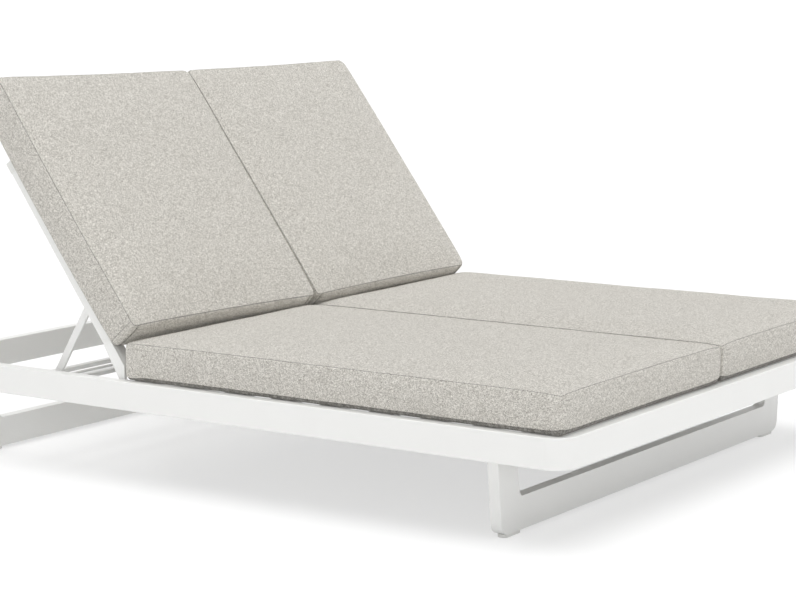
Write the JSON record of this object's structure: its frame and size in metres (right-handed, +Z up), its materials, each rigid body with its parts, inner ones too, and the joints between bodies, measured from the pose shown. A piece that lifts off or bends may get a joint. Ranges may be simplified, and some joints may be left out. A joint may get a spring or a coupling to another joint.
{
  "type": "double chaise lounger",
  "caption": "Wide twin sun lounger with a boxed seat and backrest cushion for each person, separately reclining backrests on prop stands, and a low white metal frame on skid legs.",
  "frame": {"origin": "on the floor, under the middle of the frame's length and width", "axes": "+X to the right for someone lying on it, seen from the foot end, +Y from the foot end to the head end, +Z up; the backrests stand at the picture's 54 degrees"},
  "size_m": [1.56, 2, 0.9939],
  "materials": {
    "powder_coated_frame": "satin white powder coat on aluminium tube and flat bar",
    "cushion_fabric": "light greige woven outdoor fabric over foam, matte",
    "fastener_steel": "plain stainless steel",
    "white_plastic": "matte white moulded plastic",
    "bearing_plastic": "matte black moulded plastic",
    "buffer_rubber": "matte black rubber"
  },
  "bodies": {
    "frame": {"left_side_rail": "powder_coated_frame", "right_side_rail": "powder_coated_frame", "foot_rail": "powder_coated_frame", "head_rail": "powder_coated_frame", "foot_left_corner": "powder_coated_frame", "foot_right_corner": "powder_coated_frame", "head_left_corner": "powder_coated_frame", "head_right_corner": "powder_coated_frame", "front_cross_tube": "powder_coated_frame", "hinge_cross_tube": "powder_coated_frame", "rear_cross_stubs": "powder_coated_frame", "rear_bars": "powder_coated_frame", "centre_beam": "powder_coated_frame", "seat_slats": "powder_coated_frame", "slat_screws": "fastener_steel", "left_slat_ledge": "powder_coated_frame", "right_slat_ledge": "powder_coated_frame", "front_skid_base": "powder_coated_frame", "rear_skid_base": "powder_coated_frame", "front_left_post": "powder_coated_frame", "front_right_post": "powder_coated_frame", "rear_left_post": "powder_coated_frame", "rear_right_post": "powder_coated_frame", "leg_bolts": "fastener_steel", "floor_glides": "white_plastic", "left_hinge_bolt": "fastener_steel", "right_hinge_bolt": "fastener_steel", "centre_hinge_bolt": "fastener_steel", "hinge_nuts": "fastener_steel", "hinge_washers": "bearing_plastic", "left_racks": "powder_coated_frame", "right_racks": "powder_coated_frame", "rest_blocks": "buffer_rubber", "left_seat_cushion": "cushion_fabric", "right_seat_cushion": "cushion_fabric"},
    "left_back": {"left_back_outer_bar": "powder_coated_frame", "left_back_inner_bar": "powder_coated_frame", "left_back_top_bar": "powder_coated_frame", "left_back_bottom_bar": "powder_coated_frame", "left_back_slats": "powder_coated_frame", "left_hinge_plates": "powder_coated_frame", "left_hinge_bushes": "bearing_plastic", "left_stand_bolts": "fastener_steel", "left_stand_nuts": "fastener_steel"},
    "left_stand": {"left_stand_arms": "powder_coated_frame", "left_stand_rod": "powder_coated_frame"},
    "left_back_cushion": {"left_back_cushion": "cushion_fabric"},
    "right_back": {"right_back_outer_bar": "powder_coated_frame", "right_back_inner_bar": "powder_coated_frame", "right_back_top_bar": "powder_coated_frame", "right_back_bottom_bar": "powder_coated_frame", "right_back_slats": "powder_coated_frame", "right_hinge_plates": "powder_coated_frame", "right_hinge_bushes": "bearing_plastic", "right_stand_bolts": "fastener_steel", "right_stand_nuts": "fastener_steel"},
    "right_stand": {"right_stand_arms": "powder_coated_frame", "right_stand_rod": "powder_coated_frame"},
    "right_back_cushion": {"right_back_cushion": "cushion_fabric"}
  },
  "joints": [
    {"name": "left_recline", "type": "hinge", "parent": "frame", "child": "left_back", "pos_m": [0, 0.282, 0.236], "axis": [1, 0, 0], "range_deg": [-54, 16]},
    {"name": "left_stand_fold", "type": "hinge", "parent": "left_back", "child": "left_stand", "pos_m": [0, 0.4225, 0.46086], "axis": [1, 0, 0], "range_deg": [-32.5, 108.5]},
    {"name": "left_cushion_slide", "type": "slide", "parent": "left_back", "child": "left_back_cushion", "axis": [0, 0.5878, 0.809], "range_m": [-0.1125, 0.0335]},
    {"name": "right_recline", "type": "hinge", "parent": "frame", "child": "right_back", "pos_m": [0, 0.282, 0.236], "axis": [1, 0, 0], "range_deg": [-54, 16]},
    {"name": "right_stand_fold", "type": "hinge", "parent": "right_back", "child": "right_stand", "pos_m": [0, 0.4225, 0.46086], "axis": [1, 0, 0], "range_deg": [-32.5, 108.5]},
    {"name": "right_cushion_slide", "type": "slide", "parent": "right_back", "child": "right_back_cushion", "axis": [0, 0.5878, 0.809], "range_m": [-0.1125, 0.0335]}
  ],
  "couplings": [
    {"joint": "left_stand_fold", "follows": "left_recline", "ratio": -2},
    {"joint": "left_cushion_slide", "follows": "left_recline", "m_per_rad": 0.119},
    {"joint": "right_stand_fold", "follows": "right_recline", "ratio": -2},
    {"joint": "right_cushion_slide", "follows": "right_recline", "m_per_rad": 0.119}
  ]
}
